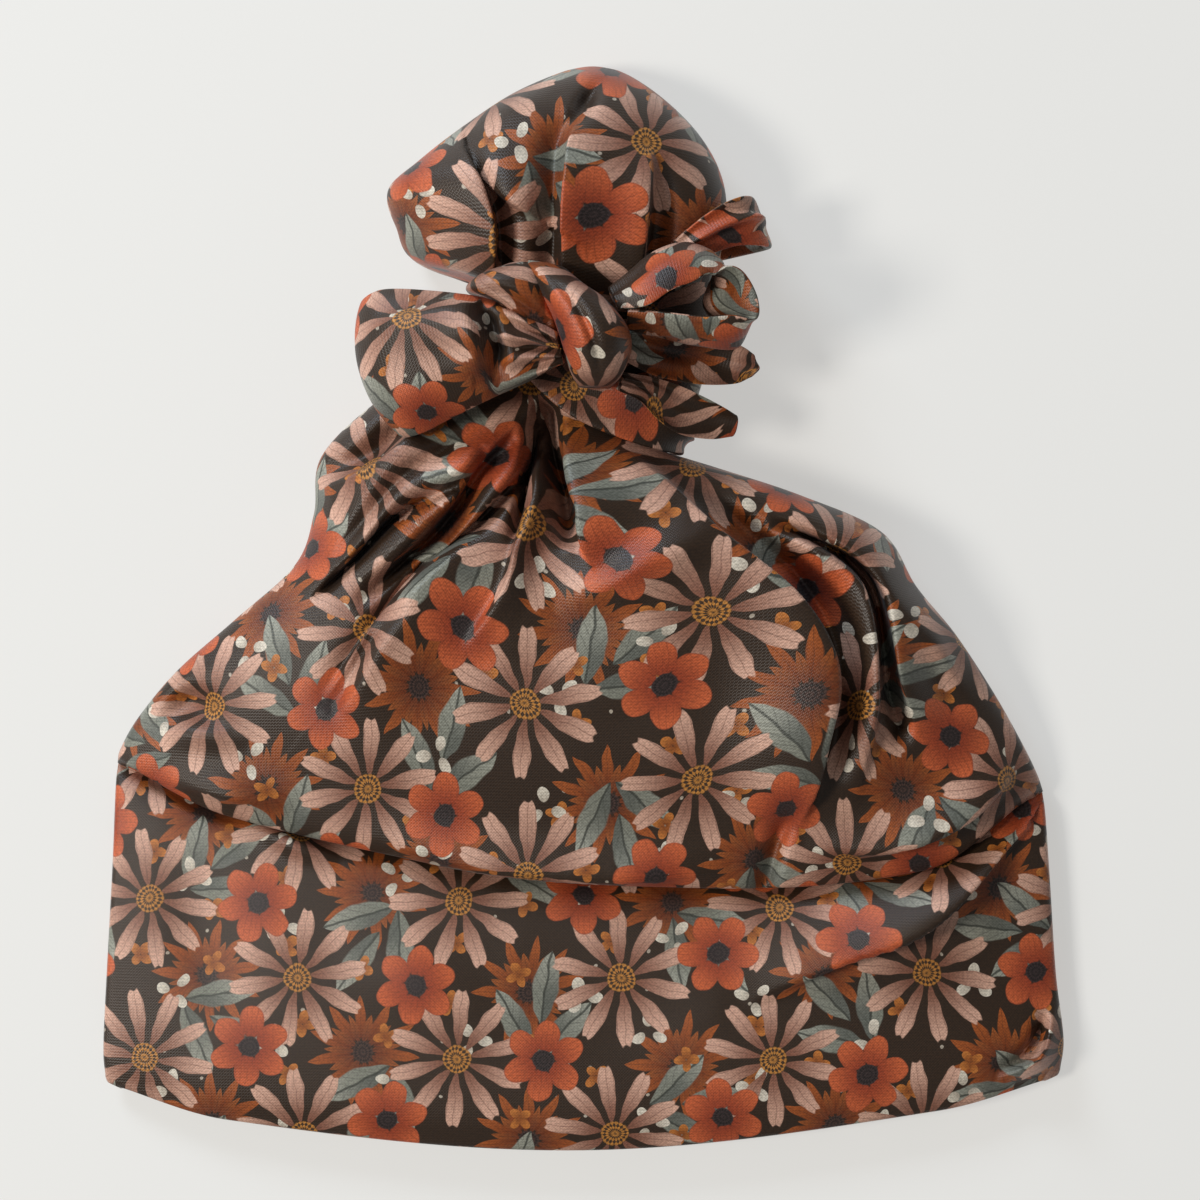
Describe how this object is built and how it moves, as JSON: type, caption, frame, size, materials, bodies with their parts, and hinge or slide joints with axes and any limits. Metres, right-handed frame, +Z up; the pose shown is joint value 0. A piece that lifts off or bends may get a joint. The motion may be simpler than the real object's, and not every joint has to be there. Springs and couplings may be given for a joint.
{
  "type": "scrub cap",
  "caption": "Soft stretch-knit scrub cap lying flat: wide band round an open mouth, gathered crown, tie knotted in a bow at the neck, and a bun pouch above it.",
  "frame": {"origin": "on the table under the middle of the cap's outline", "axes": "+Y from the mouth towards the bun, +X across the cap to the right seen from above, +Z up from the table"},
  "size_m": [0.267, 0.2988, 0.06],
  "materials": {
    "cap_cloth": "brushed stretch knit, small floral print",
    "tie_cloth": "brushed stretch knit, small floral print"
  },
  "bodies": {
    "root": {"band": "cap_cloth", "crown": "cap_cloth", "bun_pouch": "cap_cloth", "bun_side_fold": "cap_cloth", "tie_wrap": "tie_cloth", "knot": "tie_cloth", "knot_fold": "tie_cloth", "bow_loop_left": "tie_cloth", "bow_loop_right": "tie_cloth", "tie_tail_upper": "tie_cloth", "tie_tail_lower": "tie_cloth"}
  },
  "joints": []
}
